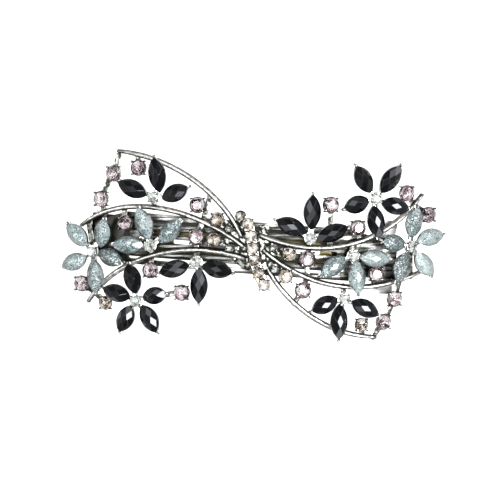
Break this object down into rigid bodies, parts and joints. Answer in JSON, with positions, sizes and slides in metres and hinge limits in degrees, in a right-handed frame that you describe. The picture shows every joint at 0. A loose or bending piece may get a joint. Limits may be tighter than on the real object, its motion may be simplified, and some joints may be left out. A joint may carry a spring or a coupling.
{
  "type": "hair barrette",
  "caption": "Bow-shaped barrette of half-round ribs, faceted petal flowers and claw-set round stones on an arched French clip with a hinged clasp arm and pinch latch.",
  "frame": {"origin": "under the middle of the bow, on the surface that the closed clip lies on", "axes": "+X along the bow, +Y across it, +Z out of its decorated face; the clip lies under it turned by 4.5 degrees"},
  "size_m": [0.0868, 0.0428, 0.016],
  "materials": {
    "clip_plate": "nickel-plated stamped steel, satin",
    "clasp_arm": "nickel-plated stamped steel, satin",
    "spring_brass": "brass-plated spring steel",
    "latch_tabs": "satin nickel",
    "rivets": "bright nickel",
    "ribs": "polished antique silver, dark in the recesses",
    "underframe": "blackened antique silver",
    "flower_trays": "antique silver, darkened",
    "claw_cups": "antique silver, polished claws over dark cups",
    "knot_band": "polished antique silver",
    "black_petals": "faceted jet-black stone, polished",
    "glitter_petals": "grey-blue resin with fine silver glitter",
    "heart_stones": "clear faceted crystal, foiled back",
    "pink_stones": "rose faceted crystal, foiled back",
    "champagne_stones": "champagne faceted crystal, foiled back",
    "smoke_stones": "smoke faceted crystal, foiled back",
    "knot_stones": "light champagne faceted crystal, foiled back"
  },
  "bodies": {
    "clip_base": {"base_plate": "clip_plate", "hinge_pin": "rivets", "spring_rivet": "rivets", "latch_rivets": "rivets", "centre_saddle": "underframe", "braces_left": "underframe", "braces_right": "underframe", "rib_left_outer": "ribs", "rib_left_middle": "ribs", "rib_left_inner": "ribs", "rib_right_outer": "ribs", "rib_right_middle": "ribs", "rib_right_inner": "ribs", "tray_left_top": "flower_trays", "tray_left_mid": "flower_trays", "tray_left_end": "flower_trays", "tray_left_bottom": "flower_trays", "tray_left_inner": "flower_trays", "tray_right_top": "flower_trays", "tray_right_mid": "flower_trays", "tray_right_end": "flower_trays", "tray_right_bottom": "flower_trays", "tray_right_inner": "flower_trays", "petals_left_top": "black_petals", "petals_left_mid": "glitter_petals", "petals_left_end": "glitter_petals", "petals_left_bottom": "black_petals", "petals_left_inner": "black_petals", "petals_right_top": "black_petals", "petals_right_mid": "glitter_petals", "petals_right_end": "glitter_petals", "petals_right_bottom": "black_petals", "petals_right_inner": "black_petals", "heart_stones_left": "heart_stones", "heart_stones_right": "heart_stones", "claw_cups_left": "claw_cups", "claw_cups_right": "claw_cups", "pink_stones_left": "pink_stones", "pink_stones_right": "pink_stones", "champagne_stones_left": "champagne_stones", "champagne_stones_right": "champagne_stones", "smoke_cups": "claw_cups", "smoke_stones": "smoke_stones", "knot_band": "knot_band", "knot_cups": "claw_cups", "knot_stones": "knot_stones"},
    "arm": {"clasp_arm": "clasp_arm"},
    "spring": {"tension_spring": "spring_brass"},
    "tab_rear": {"latch_tab_rear": "latch_tabs"},
    "tab_front": {"latch_tab_front": "latch_tabs"}
  },
  "joints": [
    {"name": "clasp_hinge", "type": "hinge", "parent": "clip_base", "child": "arm", "pos_m": [-0.03494, 0.00215, 0.0015], "axis": [0.0785, 0.9969, 0], "range_deg": [0, 75]},
    {"name": "spring_flex", "type": "hinge", "parent": "clip_base", "child": "spring", "pos_m": [-0.02497, 0.00136, 0.00695], "axis": [-0.0785, -0.9969, 0], "range_deg": [0, 1.5], "stiffness_Nm_per_rad": 0.2},
    {"name": "tab_rear_pinch", "type": "hinge", "parent": "clip_base", "child": "tab_rear", "pos_m": [0.02238, 0.00024, 0.00761], "axis": [-0.2039, 0.016, -0.9789], "range_deg": [0, 6], "stiffness_Nm_per_rad": 0.1},
    {"name": "tab_front_pinch", "type": "hinge", "parent": "clip_base", "child": "tab_front", "pos_m": [0.02198, -0.00494, 0.00761], "axis": [0.2039, -0.016, 0.9789], "range_deg": [0, 6], "stiffness_Nm_per_rad": 0.1}
  ],
  "couplings": [
    {"joint": "tab_front_pinch", "follows": "tab_rear_pinch", "ratio": 1}
  ]
}
